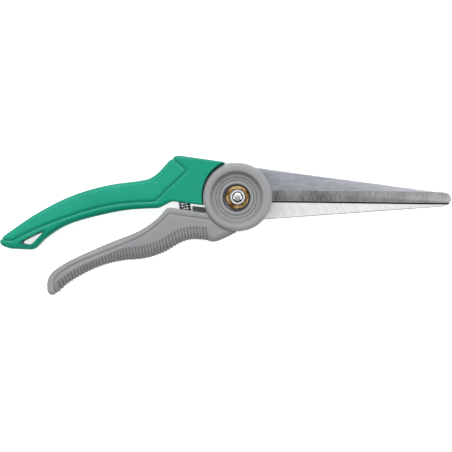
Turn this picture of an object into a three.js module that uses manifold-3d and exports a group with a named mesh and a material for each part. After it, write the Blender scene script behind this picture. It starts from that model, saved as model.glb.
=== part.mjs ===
// Pruning shears with long straight blades, lying on their back with the blades closed.
// Millimetres. +X runs to the blade tips, +Y from the finger handle to the palm handle,
// +Z is the pivot axis. The origin is the centre of the pivot bolt's flat head face, and
// z = 0 is also the plane of the handle backs.
import * as THREE from 'three';
import { mergeVertices } from 'three/addons/utils/BufferGeometryUtils.js';
import Module from 'manifold-3d';

const wasm = await Module();
wasm.setup();

// ---- driving dimensions -------------------------------------------------------------
const GAP = 0.3; // clearance between neighbouring pieces
const MID_Z = 11; // sliding plane between the two blades
const BLADE_T = 2.8;
const BACK_BLADE = [MID_Z - GAP / 2 - BLADE_T, MID_Z - GAP / 2];
const FRONT_BLADE = [MID_Z + GAP / 2, MID_Z + GAP / 2 + BLADE_T];
const REAR_COVER = [0, BACK_BLADE[0] - GAP];
const FRONT_COVER = [FRONT_BLADE[1] + GAP, 2 * MID_Z];
const HANDLE_T = 20;
const GRIP_LOW = 0.4; // how far a grip pad lies below the faces of its handle
const HANDLE_ROUND = 2.4; // edge radius of the handles
const CORE = [4.4, 17.2]; // z range of the web that fills each grip pad

const HUB_R = 22; // hub covers
const HUB_SEAT_R = HUB_R + GAP; // arc that holds a handle's own cover
const HUB_SWEEP_R = 22.9; // arc that clears the other side's cover
const BLADE_HUB_R = 20.6;
const DISH_OFFSET = [-0.7, -0.5]; // the dish and its hole sit a little off the rim's centre
const DISH_R = 16.9;
const DISH_FLOOR_R = 14.9;
const HOLE_R = 8.9;
const PEG_R = 1.4; // pegs that lock a cover to its blade
const PEG_CIRCLE_R = 17.2;
const PEG_DEPTH = 2;

const BOLT_R = 3.2;
const BOLT_HEAD_R = 7.9;
const BOLT_HEAD_T = 5.9;
const WASHER_R = 7.4;
const WASHER_T = 1.4;
const NUT_ACROSS_FLATS = 10;
const NUT_T = 5;
const BUSHING_R = 5;

const SPRING_CENTRE = new THREE.Vector3(-33.8, -6.1, 10.6); // middle of the gap it spans
const SPRING_TILT = THREE.MathUtils.degToRad(9.2); // lean of its axis from +Y towards -X
const SPRING_R = 3.2; // mean coil radius
const WIRE_R = 0.6;
const SPRING_TURNS = 6;
const SPRING_SPAN = [-7.4, 9.1]; // along its axis, measured from SPRING_CENTRE
const POCKET_R = 4.5;
const POCKET = [-9.4, 11];
const SEAT_R = POCKET_R - GAP;
const SEAT_T = 1.2;
const SEAT_PEG_R = 2.1;
const SEAT_PEG_L = 4;

const TANG_PIN_R = 1.5;
const TANG_PIN = [5.8, 15.4];

const CATCH_PIN = [-31, 5];
const CATCH_Z = [0.6, 1.9];
const CATCH_RECESS_T = CORE[0];
const CATCH_SWING = THREE.MathUtils.degToRad(14); // from open (as modelled) to locked
const CATCH_PIN_R = 1.6;
const STUD_R = 1.6;
const STUD = [-26.8, -14.3];
const STUD_Z = [0.7, 8];

const RIB_PITCH = 1.96;
const RIB_COUNT = 49;
const RIB_FIRST_X = -113.4;
const RIB_DEPTH = 0.5;
const RIB_GROOVE_W = 0.85;

const MATERIALS = {
  palmPlastic: [0x1f9a7b, 0.42, 0],
  palmSoft: [0x25a386, 0.55, 0],
  fingerPlastic: [0x939597, 0.48, 0],
  fingerSoft: [0x8f9193, 0.6, 0],
  blade: [0x9ba0aa, 0.32, 1],
  steel: [0xb9bcc0, 0.3, 1],
  brightSteel: [0xd4d5d8, 0.18, 1],
  brass: [0xb08b3e, 0.35, 1],
  black: [0x1c1c1e, 0.55, 0],
  darkRubber: [0x6f7175, 0.7, 0],
};

// ---- geometry helpers ---------------------------------------------------------------
function toSolid(geometry) {
  const bare = new THREE.BufferGeometry();
  bare.setAttribute('position', geometry.getAttribute('position').clone());
  if (geometry.index) bare.setIndex(geometry.index.clone());
  const welded = mergeVertices(bare, 1e-4);
  return new wasm.Manifold(new wasm.Mesh({
    numProp: 3,
    vertProperties: new Float32Array(welded.getAttribute('position').array),
    triVerts: new Uint32Array(welded.index.array),
  }));
}

function toGeometry(solid) {
  const mesh = solid.getMesh();
  const geometry = new THREE.BufferGeometry();
  geometry.setAttribute('position', new THREE.BufferAttribute(mesh.vertProperties, 3));
  geometry.setIndex(new THREE.BufferAttribute(mesh.triVerts, 1));
  geometry.computeVertexNormals();
  return geometry;
}

function vectors(points) {
  return points.map(([x, y]) => new THREE.Vector2(x, y));
}

// A smooth line through a few points.
function curve(points, pieces) {
  return new THREE.SplineCurve(vectors(points)).getPoints(pieces);
}

function distanceTo(outline, point) {
  const closest = new THREE.Vector2();
  return Math.min(...outline.map((a, i) => {
    const side = outline[(i + 1) % outline.length].clone().sub(a);
    const along = THREE.MathUtils.clamp(point.clone().sub(a).dot(side) / side.lengthSq(), 0, 1);
    return closest.copy(a).addScaledVector(side, along).distanceTo(point);
  }));
}

// Points on an arc; angles in degrees, anticlockwise from +X.
function arc([x, y], radius, from, to, pieces) {
  return Array.from({ length: pieces + 1 }, (_, i) => {
    const angle = THREE.MathUtils.degToRad(from + ((to - from) * i) / pieces);
    return new THREE.Vector2(x + radius * Math.cos(angle), y + radius * Math.sin(angle));
  });
}

// Moves every side of a closed anticlockwise outline inwards (outwards if negative), and
// drops the corners that come too near another side of it.
function inset(outline, distance) {
  const count = outline.length;
  if (distance === 0) return outline;
  const moved = outline.map((point, i) => {
    const before = point.clone().sub(outline[(i + count - 1) % count]).normalize();
    const after = outline[(i + 1) % count].clone().sub(point).normalize();
    const inwards = new THREE.Vector2(-before.y - after.y, before.x + after.x).normalize();
    const spread = Math.max(0.5, inwards.dot(new THREE.Vector2(-before.y, before.x)));
    return point.clone().addScaledVector(inwards, distance / spread);
  });
  return moved.filter((point) => distanceTo(outline, point) > 0.98 * Math.abs(distance));
}

// An upright prism between two heights, with its upper and lower edges rounded.
function prism(outline, [low, high], round = 0) {
  const geometry = new THREE.ExtrudeGeometry(new THREE.Shape(outline), {
    depth: high - low - 2 * round,
    bevelEnabled: round > 0,
    bevelThickness: round,
    bevelSize: round,
    bevelOffset: -round,
    bevelSegments: 2,
  });
  geometry.translate(0, 0, low + round);
  return toSolid(geometry);
}

function cylinder(radius, [low, high], [x, y] = [0, 0], sides = 32) {
  const geometry = new THREE.CylinderGeometry(radius, radius, high - low, sides);
  geometry.rotateX(Math.PI / 2);
  geometry.translate(x, y, (low + high) / 2);
  return toSolid(geometry);
}

// A body of revolution about the pivot axis from [radius, z] pairs.
function turned(profile, [x, y] = [0, 0], sides = 36) {
  const geometry = new THREE.LatheGeometry(vectors(profile), sides);
  geometry.rotateX(Math.PI / 2);
  geometry.scale(1, -1, 1);
  geometry.index.array.reverse();
  geometry.translate(x, y, 0);
  return toSolid(geometry);
}

function washer(inner, outer, [low, high]) {
  return turned([[inner, low], [outer, low], [outer, high], [inner, high], [inner, low]]);
}

// ---- handle outlines (anticlockwise) -------------------------------------------------
const PALM_BACK = curve([
  [-37, 26.6], [-40.5, 26.1], [-44.3, 22.9], [-50.2, 16.4], [-55.9, 12.3], [-63, 10.5],
  [-82.9, 7.8], [-106, 1.1], [-129.1, -10.6], [-149.6, -24.6],
], 30);
const PALM_TAIL = arc([-148.9, -28.2], 3.5, 135, 245, 5);
const PALM_BELLY = curve([
  [-50.6, -6.9], [-75.1, -8.7], [-106, -16.3], [-121.4, -24.9], [-129.1, -32.3],
], 16).reverse();
const PALM_OUTLINE = [
  ...vectors([[-8.2, 22.5]]),
  ...PALM_BACK,
  ...PALM_TAIL,
  ...vectors([[-145.5, -33], [-131.6, -33.7]]),
  ...PALM_BELLY,
  ...vectors([[-43.2, -2.9], [-41.4, -2.6], [-21.5, -5.2], [-10, 0]]),
];
// The part of the palm handle that its grip pad covers, open past the handle's back.
const PALM_PAD_SEAM = curve([
  [-147.6, -27.6], [-144.5, -28.1], [-142.2, -26.7], [-125.5, -18.8], [-96.9, -8.7],
  [-75.5, -4.2], [-54.8, -2.9], [-52.2, -2],
], 18);
const PALM_PAD = [
  ...vectors([[-32.3, 17], [-37.1, 21.4], [-42.4, 25.2], [-43, 27]]),
  ...PALM_BACK.filter((p) => p.x < -42.6 && p.x > -150).map((p) => p.clone().setY(p.y + 2)),
  ...vectors([[-154, -25.4], [-152, -26.8]]),
  ...PALM_PAD_SEAM,
];

const FINGER_TOP = curve([
  [-45.4, -7.1], [-52, -14.3], [-63.6, -22], [-82.9, -29.7], [-106, -40], [-117.5, -47.1],
  [-121.5, -52.8], [-121.9, -57.5],
], 22);
const FINGER_TAIL = arc([-118.5, -59.5], 3.3, 185, 310, 6);
const FINGER_BELLY = curve([
  [-114.6, -60.5], [-106, -53.5], [-90.6, -45.5], [-75.1, -41.2], [-59.7, -39.7],
  [-47, -35.6], [-36.6, -29.4], [-28.9, -27.3], [-19.8, -27.9], [-14.6, -28.7],
  [-5.8, -25.2], [3, -20.2],
], 34);
const FINGER_OUTLINE = [
  ...vectors([[-21.5, -10.1], [-43.4, -6.6]]),
  ...FINGER_TOP,
  ...FINGER_TAIL,
  ...FINGER_BELLY,
  ...vectors([[3, -10]]),
];
const FINGER_SEAM = curve([
  [-45.4, -11.2], [-48, -14.4], [-55.8, -20.7], [-65.6, -26.7], [-81.9, -33.5],
  [-102.3, -41.5], [-113.4, -48], [-117.2, -52.4], [-117.9, -56], [-117.5, -59],
], 20);
const FINGER_PAD = [
  ...vectors([[-17.5, -14.1], [-43.6, -10.5]]),
  ...FINGER_SEAM,
  ...vectors([[-116, -64]]),
  ...FINGER_BELLY.filter((p) => p.x > -112).map((p) => p.clone().setY(p.y - 2)),
  ...vectors([[4, -12]]),
];
const LANYARD_HOLE = vectors([
  [-139.2, -28.9], [-139.4, -29.8], [-132.9, -30.5], [-131.8, -30], [-122.9, -21.2],
  [-123.3, -20.9],
]);

// ---- cutters shared by several pieces -------------------------------------------------
const ALL_Z = [-1, HANDLE_T + 5];

// Everything inside the two hub arcs: `own` is the z side that carries this handle's cover.
function hubRoom(ownSide) {
  const seat = ownSide === 'rear' ? [-1, MID_Z] : [MID_Z, ALL_Z[1]];
  const sweep = ownSide === 'rear' ? [MID_Z, ALL_Z[1]] : [-1, MID_Z];
  return cylinder(HUB_SEAT_R, seat, [0, 0], 64).add(cylinder(HUB_SWEEP_R, sweep, [0, 0], 64));
}

// Places a piece made along +Z, with 0 at the middle of the gap, on the spring's axis.
function onSpringAxis(geometry) {
  geometry.rotateX(-Math.PI / 2);
  geometry.rotateZ(SPRING_TILT);
  geometry.translate(SPRING_CENTRE.x, SPRING_CENTRE.y, SPRING_CENTRE.z);
  return geometry;
}

function springCylinder(radius, [low, high], sides = 32) {
  const geometry = new THREE.CylinderGeometry(radius, radius, high - low, sides);
  geometry.rotateX(Math.PI / 2);
  geometry.translate(0, 0, (low + high) / 2);
  return toSolid(onSpringAxis(geometry));
}

function springPocket() {
  return springCylinder(POCKET_R, POCKET);
}

const PALM_RECESS = vectors([
  [-24.6, -8], [-24.2, 7], [-18.6, 17], [-21, 22.6], [-29, 22.6], [-33, 12], [-40, 2],
  [-40, -8],
]);
const FINGER_RECESS = vectors([
  [-24.2, -5], [-46, -5], [-46, -12], [-42, -20], [-24.2, -20],
]);

function recess(outline) {
  return prism(outline, [-1, CATCH_RECESS_T]);
}

// ---- palm side -------------------------------------------------------------------------
const PALM_CORE_INSET = 3.9;
const PALM_TANG = vectors([
  [0, 19], [-20, 20], [-36, 16.5], [-46, 9.5], [-62, 4], [-61.4, -0.8], [-44, 3.4], [-34, 8.2],
  [0, 5],
]);
// The back blade's shoulder, which shows above the front hub cover.
const SHOULDER = vectors([
  [10, 12], [8.9, 20.3], [0.2, 21.9], [-8.2, 22.4], [-19, 15], [-10, 5],
]);
const PALM_TANG_PINS = [[-36, 12.4], [-54, 3.6]];

function palmCore(grow) {
  const outline = inset(PALM_OUTLINE, PALM_CORE_INSET - grow);
  return prism(outline, [CORE[0] - grow, CORE[1] + grow]);
}

function palmTangSlot() {
  const slot = [BACK_BLADE[0] - GAP, BACK_BLADE[1] + GAP];
  return prism(inset(PALM_TANG, -GAP), slot).add(prism(inset(SHOULDER, -GAP), slot));
}

function tangPinBores(places) {
  const bore = [TANG_PIN[0] - GAP, TANG_PIN[1] + GAP];
  const bores = places.map((at) => cylinder(TANG_PIN_R + GAP, bore, at, 16));
  return bores[0].add(bores[1]);
}

function palmHandle() {
  const faces = [0, HANDLE_T];
  return prism(PALM_OUTLINE, faces, HANDLE_ROUND)
    .subtract(prism(PALM_PAD, ALL_Z))
    .add(palmCore(0))
    .subtract(hubRoom('rear'))
    .subtract(palmTangSlot())
    .subtract(tangPinBores(PALM_TANG_PINS))
    .subtract(springPocket())
    .subtract(recess(PALM_RECESS))
    .subtract(cylinder(CATCH_PIN_R + GAP, [0, 6.8], CATCH_PIN, 24))
    .subtract(prism(LANYARD_HOLE, ALL_Z));
}

// The rounded handle shape, a little thinner, kept only where the grip pad is.
function padBlank(outline, pad, depth) {
  const low = GRIP_LOW + depth;
  return prism(inset(outline, depth), [low, HANDLE_T - low], HANDLE_ROUND)
    .intersect(prism(inset(pad, GAP), ALL_Z));
}

function palmGripPad() {
  return padBlank(PALM_OUTLINE, PALM_PAD, 0).subtract(palmCore(GAP));
}

// A flat blade: its outline, hub disc and tang joined, with the pivot hole cut through.
function bladeBlank(parts, range) {
  return parts
    .map((outline) => prism(outline, range))
    .reduce((whole, piece) => whole.add(piece), cylinder(BLADE_HUB_R, range, [0, 0], 56))
    .subtract(cylinder(BUSHING_R + GAP, ALL_Z));
}

// The ground bevel along a cutting edge, as the wedge that grinding takes away.
function bevelWedge({ heelX, topY, edgeY, tilt, faceZ, edgeZ }) {
  const outside = edgeY + Math.sign(edgeY - topY) * 2;
  const slope = (edgeZ - faceZ) / (edgeY - topY);
  const clear = faceZ + Math.sign(faceZ - edgeZ);
  const section = [
    [topY - (clear - faceZ) / -slope, clear],
    [outside, edgeZ + slope * (outside - edgeY)],
    [outside, clear],
  ];
  const area = THREE.ShapeUtils.area(vectors(section));
  if (area < 0) section.reverse();
  const geometry = new THREE.ExtrudeGeometry(new THREE.Shape(vectors(section)), {
    depth: 150,
    bevelEnabled: false,
  });
  geometry.rotateX(Math.PI / 2);
  geometry.rotateZ(Math.PI / 2);
  geometry.translate(heelX, 0, 0);
  geometry.rotateZ(tilt);
  return toSolid(geometry);
}

const EDGE_T = 0.5; // blade thickness left at the cutting edge
const PEG_ANGLES = [80, 200, 320].map(THREE.MathUtils.degToRad);

function pegs(radius, range) {
  return PEG_ANGLES
    .map((angle) => [PEG_CIRCLE_R * Math.cos(angle), PEG_CIRCLE_R * Math.sin(angle)])
    .map((at) => cylinder(radius, range, at, 12))
    .reduce((whole, peg) => whole.add(peg));
}

function backBlade() {
  const blade = vectors([
    [2, -16], [16.4, -14.3], [52, -11.9], [117.2, -7.1], [132.4, -6], [135.8, -4.5],
    [137.3, -2.6], [136.6, -0.4], [133, 0.9], [24, 2.6], [12, 12], [2, 12],
  ]);
  return bladeBlank([blade, SHOULDER, PALM_TANG], BACK_BLADE)
    .subtract(bevelWedge({
      heelX: 24, topY: -3.4, edgeY: 3, tilt: -0.016, faceZ: BACK_BLADE[0], edgeZ: BACK_BLADE[1] - EDGE_T,
    }))
    .subtract(pegs(PEG_R + GAP, [0, BACK_BLADE[0] + PEG_DEPTH]))
    .subtract(tangPinBores(PALM_TANG_PINS));
}

// ---- hub covers --------------------------------------------------------------------------
// Made for the front; the rear one is its mirror image. The rim is a rounded ridge around
// a dish with two shallow ring steps and a hole over the pivot nut.
function frontCoverShape() {
  const [base, crest] = FRONT_COVER;
  const body = turned([
    [0, base], [HUB_R, base], [HUB_R, crest - 3.4], [HUB_R - 0.5, crest - 1.7],
    [HUB_R - 1.7, crest - 0.5], [HUB_R - 3, crest], [0, crest],
  ], [0, 0], 56);
  const dish = turned([
    [0, crest + 1], [DISH_R + 0.6, crest + 1], [DISH_R, crest - 0.6],
    [DISH_FLOOR_R + 0.7, crest - 3.2], [DISH_FLOOR_R, crest - 3.8], [13.4, crest - 3.8],
    [13.1, crest - 4.3], [11.3, crest - 4.3], [11, crest - 4.8], [HOLE_R, crest - 4.8],
    [HOLE_R, base - 1], [0, base - 1],
  ].reverse(), DISH_OFFSET, 40);
  return body
    .subtract(dish)
    .add(pegs(PEG_R, [base - GAP - PEG_DEPTH, base + 1]));
}

function rearCoverShape() {
  return frontCoverShape().mirror([0, 0, 1]).translate([0, 0, 2 * MID_Z]);
}

// ---- pivot -----------------------------------------------------------------------------------
function pivotBolt() {
  const top = 2 * MID_Z - 0.2;
  const body = turned([
    [0, 0], [BOLT_HEAD_R - 0.5, 0], [BOLT_HEAD_R, 0.5], [BOLT_HEAD_R, BOLT_HEAD_T],
    [BOLT_R, BOLT_HEAD_T], [BOLT_R, top - 1.1], [BOLT_R * 0.72, top - 0.35], [0, top],
  ]);
  const spannerHole = [-1, 2.2];
  return body
    .subtract(cylinder(1.1, spannerHole, [5, 0], 20))
    .subtract(cylinder(1.1, spannerHole, [-5, 0], 20));
}

function pivotNut() {
  const low = FRONT_BLADE[1] + GAP + WASHER_T + GAP;
  const high = low + NUT_T;
  const corner = NUT_ACROSS_FLATS / Math.sqrt(3);
  const hexagon = new THREE.CylinderGeometry(corner, corner, NUT_T, 6);
  hexagon.rotateX(Math.PI / 2);
  hexagon.translate(0, 0, (low + high) / 2);
  const chamfered = turned([
    [0, low], [corner - 0.6, low], [corner + 0.2, low + 0.5], [corner + 0.2, high - 0.5],
    [corner - 1, high], [0, high],
  ], [0, 0], 36);
  return toSolid(hexagon)
    .intersect(chamfered)
    .subtract(cylinder(BOLT_R + GAP, ALL_Z));
}

function brassWasher() {
  const low = FRONT_BLADE[1] + GAP;
  return washer(BOLT_R + GAP, WASHER_R, [low, low + WASHER_T]);
}

function headWasher() {
  const high = BACK_BLADE[0] - GAP;
  return washer(BOLT_R + GAP, WASHER_R, [high - WASHER_T, high]);
}

function pivotBushing() {
  return washer(BOLT_R + GAP, BUSHING_R, [BACK_BLADE[0], FRONT_BLADE[1]]);
}

// ---- spring ------------------------------------------------------------------------------------
class Helix extends THREE.Curve {
  getPoint(t, target = new THREE.Vector3()) {
    const angle = 2 * Math.PI * SPRING_TURNS * t;
    const low = SPRING_SPAN[0] + WIRE_R;
    const high = SPRING_SPAN[1] - WIRE_R;
    return target.set(
      SPRING_R * Math.cos(angle),
      SPRING_R * Math.sin(angle),
      low + (high - low) * t,
    );
  }
}

function coilSpring() {
  const wire = new THREE.Shape();
  wire.absarc(0, 0, WIRE_R, 0, 2 * Math.PI);
  const geometry = new THREE.ExtrudeGeometry(wire, {
    steps: SPRING_TURNS * 14,
    curveSegments: 3,
    bevelEnabled: false,
    extrudePath: new Helix(),
  });
  return toSolid(onSpringAxis(geometry));
}

// A cup floor with a short peg that centres the coil; `inwards` points along the axis.
function springSeat(floor, inwards) {
  const plate = [floor, floor + inwards * SEAT_T].sort((a, b) => a - b);
  const peg = [floor, floor + inwards * (SEAT_T + SEAT_PEG_L)].sort((a, b) => a - b);
  return springCylinder(SEAT_R, plate).add(springCylinder(SEAT_PEG_R, peg, 20));
}

// ---- finger side ----------------------------------------------------------------------------------
const FINGER_CORE_INSET = 2.5;
const FINGER_TANG = vectors([
  [0, -5], [-14, -11.5], [-24, -17.6], [-40, -18.4], [-56, -25.4], [-58, -31], [-40, -26],
  [-22, -24.4], [0, -18],
]);
const FINGER_TANG_PINS = [[-27.5, -20.9], [-48.5, -25.2]];
const BUMPER = vectors([[-18.4, -11.5], [-20.2, -6.6], [-29.1, -5.6], [-28.9, -11.5]]);
const BUMPER_Z = [REAR_COVER[1] + 2 * GAP, FRONT_COVER[0] - GAP];

function fingerCore(grow) {
  const outline = inset(FINGER_OUTLINE, FINGER_CORE_INSET - grow);
  return prism(outline, [CORE[0] - grow, CORE[1] + grow]);
}

function fingerTangSlot() {
  return prism(inset(FINGER_TANG, -GAP), [FRONT_BLADE[0] - GAP, FRONT_BLADE[1] + GAP]);
}

function studBore() {
  return cylinder(STUD_R + GAP, [0, STUD_Z[1] + GAP], STUD, 24);
}

function bumperSlot() {
  return prism(inset(BUMPER, -GAP), [BUMPER_Z[0] - GAP, BUMPER_Z[1] + GAP]);
}

function fingerHandle() {
  return prism(FINGER_OUTLINE, [0, HANDLE_T], HANDLE_ROUND)
    .subtract(prism(FINGER_PAD, ALL_Z))
    .add(fingerCore(0))
    .subtract(hubRoom('front'))
    .subtract(fingerTangSlot())
    .subtract(tangPinBores(FINGER_TANG_PINS))
    .subtract(springPocket())
    .subtract(bumperSlot())
    .subtract(studBore())
    .subtract(recess(FINGER_RECESS));
}

// How far a rib leans back, and how long it is, change along the grip.
function ribLean(x) {
  const tail = 9 * Math.exp(-(((x + 114) / 30) ** 2));
  return THREE.MathUtils.degToRad(8 + tail + 4 * Math.exp(-(((x + 45) / 18) ** 2)));
}

function ribLength(x) {
  return 4.8 + 3.4 * THREE.MathUtils.smoothstep(x, -90, -68);
}

function bellyHeight(x) {
  const after = FINGER_BELLY.findIndex((p) => p.x > x);
  const [a, b] = [FINGER_BELLY[after - 1], FINGER_BELLY[after]];
  return a.y + ((x - a.x) / (b.x - a.x)) * (b.y - a.y);
}

// The grooves between ribs: thin slabs across the grip, less the material below their depth.
function ribGrooves() {
  const slabs = [];
  for (let i = 0; i < RIB_COUNT; i += 1) {
    const x = RIB_FIRST_X + i * RIB_PITCH;
    const below = 3;
    const length = ribLength(x) + below;
    const slab = new THREE.BoxGeometry(RIB_GROOVE_W, length, HANDLE_T + 2);
    slab.translate(0, length / 2 - below, HANDLE_T / 2);
    slab.rotateZ(ribLean(x));
    slab.translate(x, bellyHeight(x), 0);
    slabs.push(toSolid(slab));
  }
  return slabs
    .reduce((whole, slab) => whole.add(slab))
    .subtract(padBlank(FINGER_OUTLINE, FINGER_PAD, RIB_DEPTH));
}

function fingerGripPad() {
  return padBlank(FINGER_OUTLINE, FINGER_PAD, 0)
    .subtract(ribGrooves())
    .subtract(fingerCore(GAP))
    .subtract(hubRoom('front'))
    .subtract(fingerTangSlot())
    .subtract(springPocket())
    .subtract(bumperSlot())
    .subtract(studBore())
    .subtract(recess(FINGER_RECESS));
}

function frontBlade() {
  const blade = vectors([
    [10, -2.3], [22.2, -2.4], [130.7, -3.7], [136.4, -3.7], [137.6, -2.8], [137.7, -0.9],
    [136.9, 1], [135.2, 2.6], [132.2, 3.5], [126.6, 3.9], [33.7, 16.4], [10.5, 19.9], [0, 20],
    [0, 8],
  ]);
  return bladeBlank([blade, FINGER_TANG], FRONT_BLADE)
    .subtract(bevelWedge({
      heelX: 22.2, topY: 4.9, edgeY: -2.2, tilt: -0.0135, faceZ: FRONT_BLADE[1],
      edgeZ: FRONT_BLADE[0] + EDGE_T,
    }))
    .subtract(pegs(PEG_R + GAP, [FRONT_BLADE[1] - PEG_DEPTH - GAP, ALL_Z[1]]))
    .subtract(tangPinBores(FINGER_TANG_PINS));
}

function stopBumper() {
  return prism(BUMPER, BUMPER_Z);
}

function tangPin(at) {
  return cylinder(TANG_PIN_R, TANG_PIN, at, 16);
}

// ---- catch ----------------------------------------------------------------------------------------
// A flat lever in the handle backs. Drawn locked, with its foot under the stud, about its
// own pin, then swung to the open position in which it is modelled.
function catchLever() {
  const lever = vectors([
    [-2, -23.8], [6, -23.8], [6.4, -21.2], [2, -21.2], [2, -3], [3.5, 0], [8.4, 12.4],
    [6.9, 14.8], [4, 15.6], [2.4, 14.2], [-2.6, 3.4], [-3.4, 0], [-2, -4],
  ]);
  return prism(lever, CATCH_Z, 0.5)
    .subtract(cylinder(CATCH_PIN_R + GAP, ALL_Z, [0, 0], 24))
    .rotate([0, 0, -THREE.MathUtils.radToDeg(CATCH_SWING)])
    .translate([...CATCH_PIN, 0]);
}

function catchPin() {
  const [x, y] = CATCH_PIN;
  return turned([
    [0, 0.1], [2.6, 0.1], [2.6, 0.4], [CATCH_PIN_R, 0.4], [CATCH_PIN_R, 6.5], [0, 6.5],
  ], [x, y], 24);
}

function catchStud() {
  return cylinder(STUD_R, STUD_Z, STUD, 24);
}

// ---- assembly ---------------------------------------------------------------------------------------
const shears = new THREE.Group();
shears.name = 'pruning_shears';

function place(name, solid, materialName) {
  const [color, roughness, metalness] = MATERIALS[materialName];
  const material = new THREE.MeshStandardMaterial({ color, roughness, metalness });
  material.name = `${name}_material`;
  const mesh = new THREE.Mesh(toGeometry(solid), material);
  mesh.name = name;
  shears.add(mesh);
}

place('palm_handle', palmHandle(), 'palmPlastic');
place('palm_grip_pad', palmGripPad(), 'palmSoft');
place('back_blade', backBlade(), 'blade');
place('rear_hub_cover', rearCoverShape(), 'palmPlastic');
place('pivot_bolt', pivotBolt(), 'brightSteel');
place('pivot_nut', pivotNut(), 'brightSteel');
place('brass_washer', brassWasher(), 'brass');
place('head_washer', headWasher(), 'steel');
place('pivot_bushing', pivotBushing(), 'steel');
place('palm_tang_pin_1', tangPin(PALM_TANG_PINS[0]), 'steel');
place('palm_tang_pin_2', tangPin(PALM_TANG_PINS[1]), 'steel');
place('palm_spring_seat', springSeat(POCKET[1] - GAP, -1), 'black');
place('coil_spring', coilSpring(), 'steel');
place('catch_pin', catchPin(), 'steel');

place('finger_handle', fingerHandle(), 'fingerPlastic');
place('finger_grip_pad', fingerGripPad(), 'fingerSoft');
place('front_blade', frontBlade(), 'blade');
place('front_hub_cover', frontCoverShape(), 'fingerPlastic');
place('finger_tang_pin_1', tangPin(FINGER_TANG_PINS[0]), 'steel');
place('finger_tang_pin_2', tangPin(FINGER_TANG_PINS[1]), 'steel');
place('finger_spring_seat', springSeat(POCKET[0] + GAP, 1), 'black');
place('stop_bumper', stopBumper(), 'darkRubber');
place('catch_stud', catchStud(), 'steel');

place('catch_lever', catchLever(), 'black');

export default shears;
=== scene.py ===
"""Pruning shears: the looks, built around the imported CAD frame.

Lengths in the drawing functions are millimetres, and MM turns them into Blender's metres.
"""

import math

import bmesh
import bpy
import numpy as np
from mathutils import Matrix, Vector


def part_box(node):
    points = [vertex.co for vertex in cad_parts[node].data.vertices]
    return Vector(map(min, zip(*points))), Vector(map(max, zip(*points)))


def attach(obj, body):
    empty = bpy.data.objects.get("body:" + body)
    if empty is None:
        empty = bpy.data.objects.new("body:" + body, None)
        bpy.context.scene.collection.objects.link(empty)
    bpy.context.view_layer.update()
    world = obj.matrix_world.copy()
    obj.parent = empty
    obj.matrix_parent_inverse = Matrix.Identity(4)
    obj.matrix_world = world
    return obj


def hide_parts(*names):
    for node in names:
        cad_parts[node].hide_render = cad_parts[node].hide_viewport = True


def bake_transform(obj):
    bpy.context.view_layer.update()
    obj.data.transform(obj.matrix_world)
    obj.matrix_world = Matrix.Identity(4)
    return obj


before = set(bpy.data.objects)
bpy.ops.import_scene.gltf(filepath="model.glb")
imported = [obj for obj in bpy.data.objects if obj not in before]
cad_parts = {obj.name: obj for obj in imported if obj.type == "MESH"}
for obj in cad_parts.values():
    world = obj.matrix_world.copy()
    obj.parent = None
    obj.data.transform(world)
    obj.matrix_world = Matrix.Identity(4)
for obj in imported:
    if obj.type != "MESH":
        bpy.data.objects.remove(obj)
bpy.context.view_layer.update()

MM = 0.001
PALM = "palm_side"
FINGER = "finger_side"


def box_mm(node):
    """Lowest and highest corner of a CAD node, in millimetres."""
    low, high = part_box(node)
    return np.array(low) / MM, np.array(high) / MM


def centre_mm(node):
    low, high = box_mm(node)
    return (low + high) / 2


SLIDE_Z = (box_mm("back_blade")[1][2] + box_mm("front_blade")[0][2]) / 2
HANDLE_Z = box_mm("palm_handle")[0][2], box_mm("palm_handle")[1][2]
HANDLE_MID = sum(HANDLE_Z) / 2
HANDLE_HALF = (HANDLE_Z[1] - HANDLE_Z[0]) / 2


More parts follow.
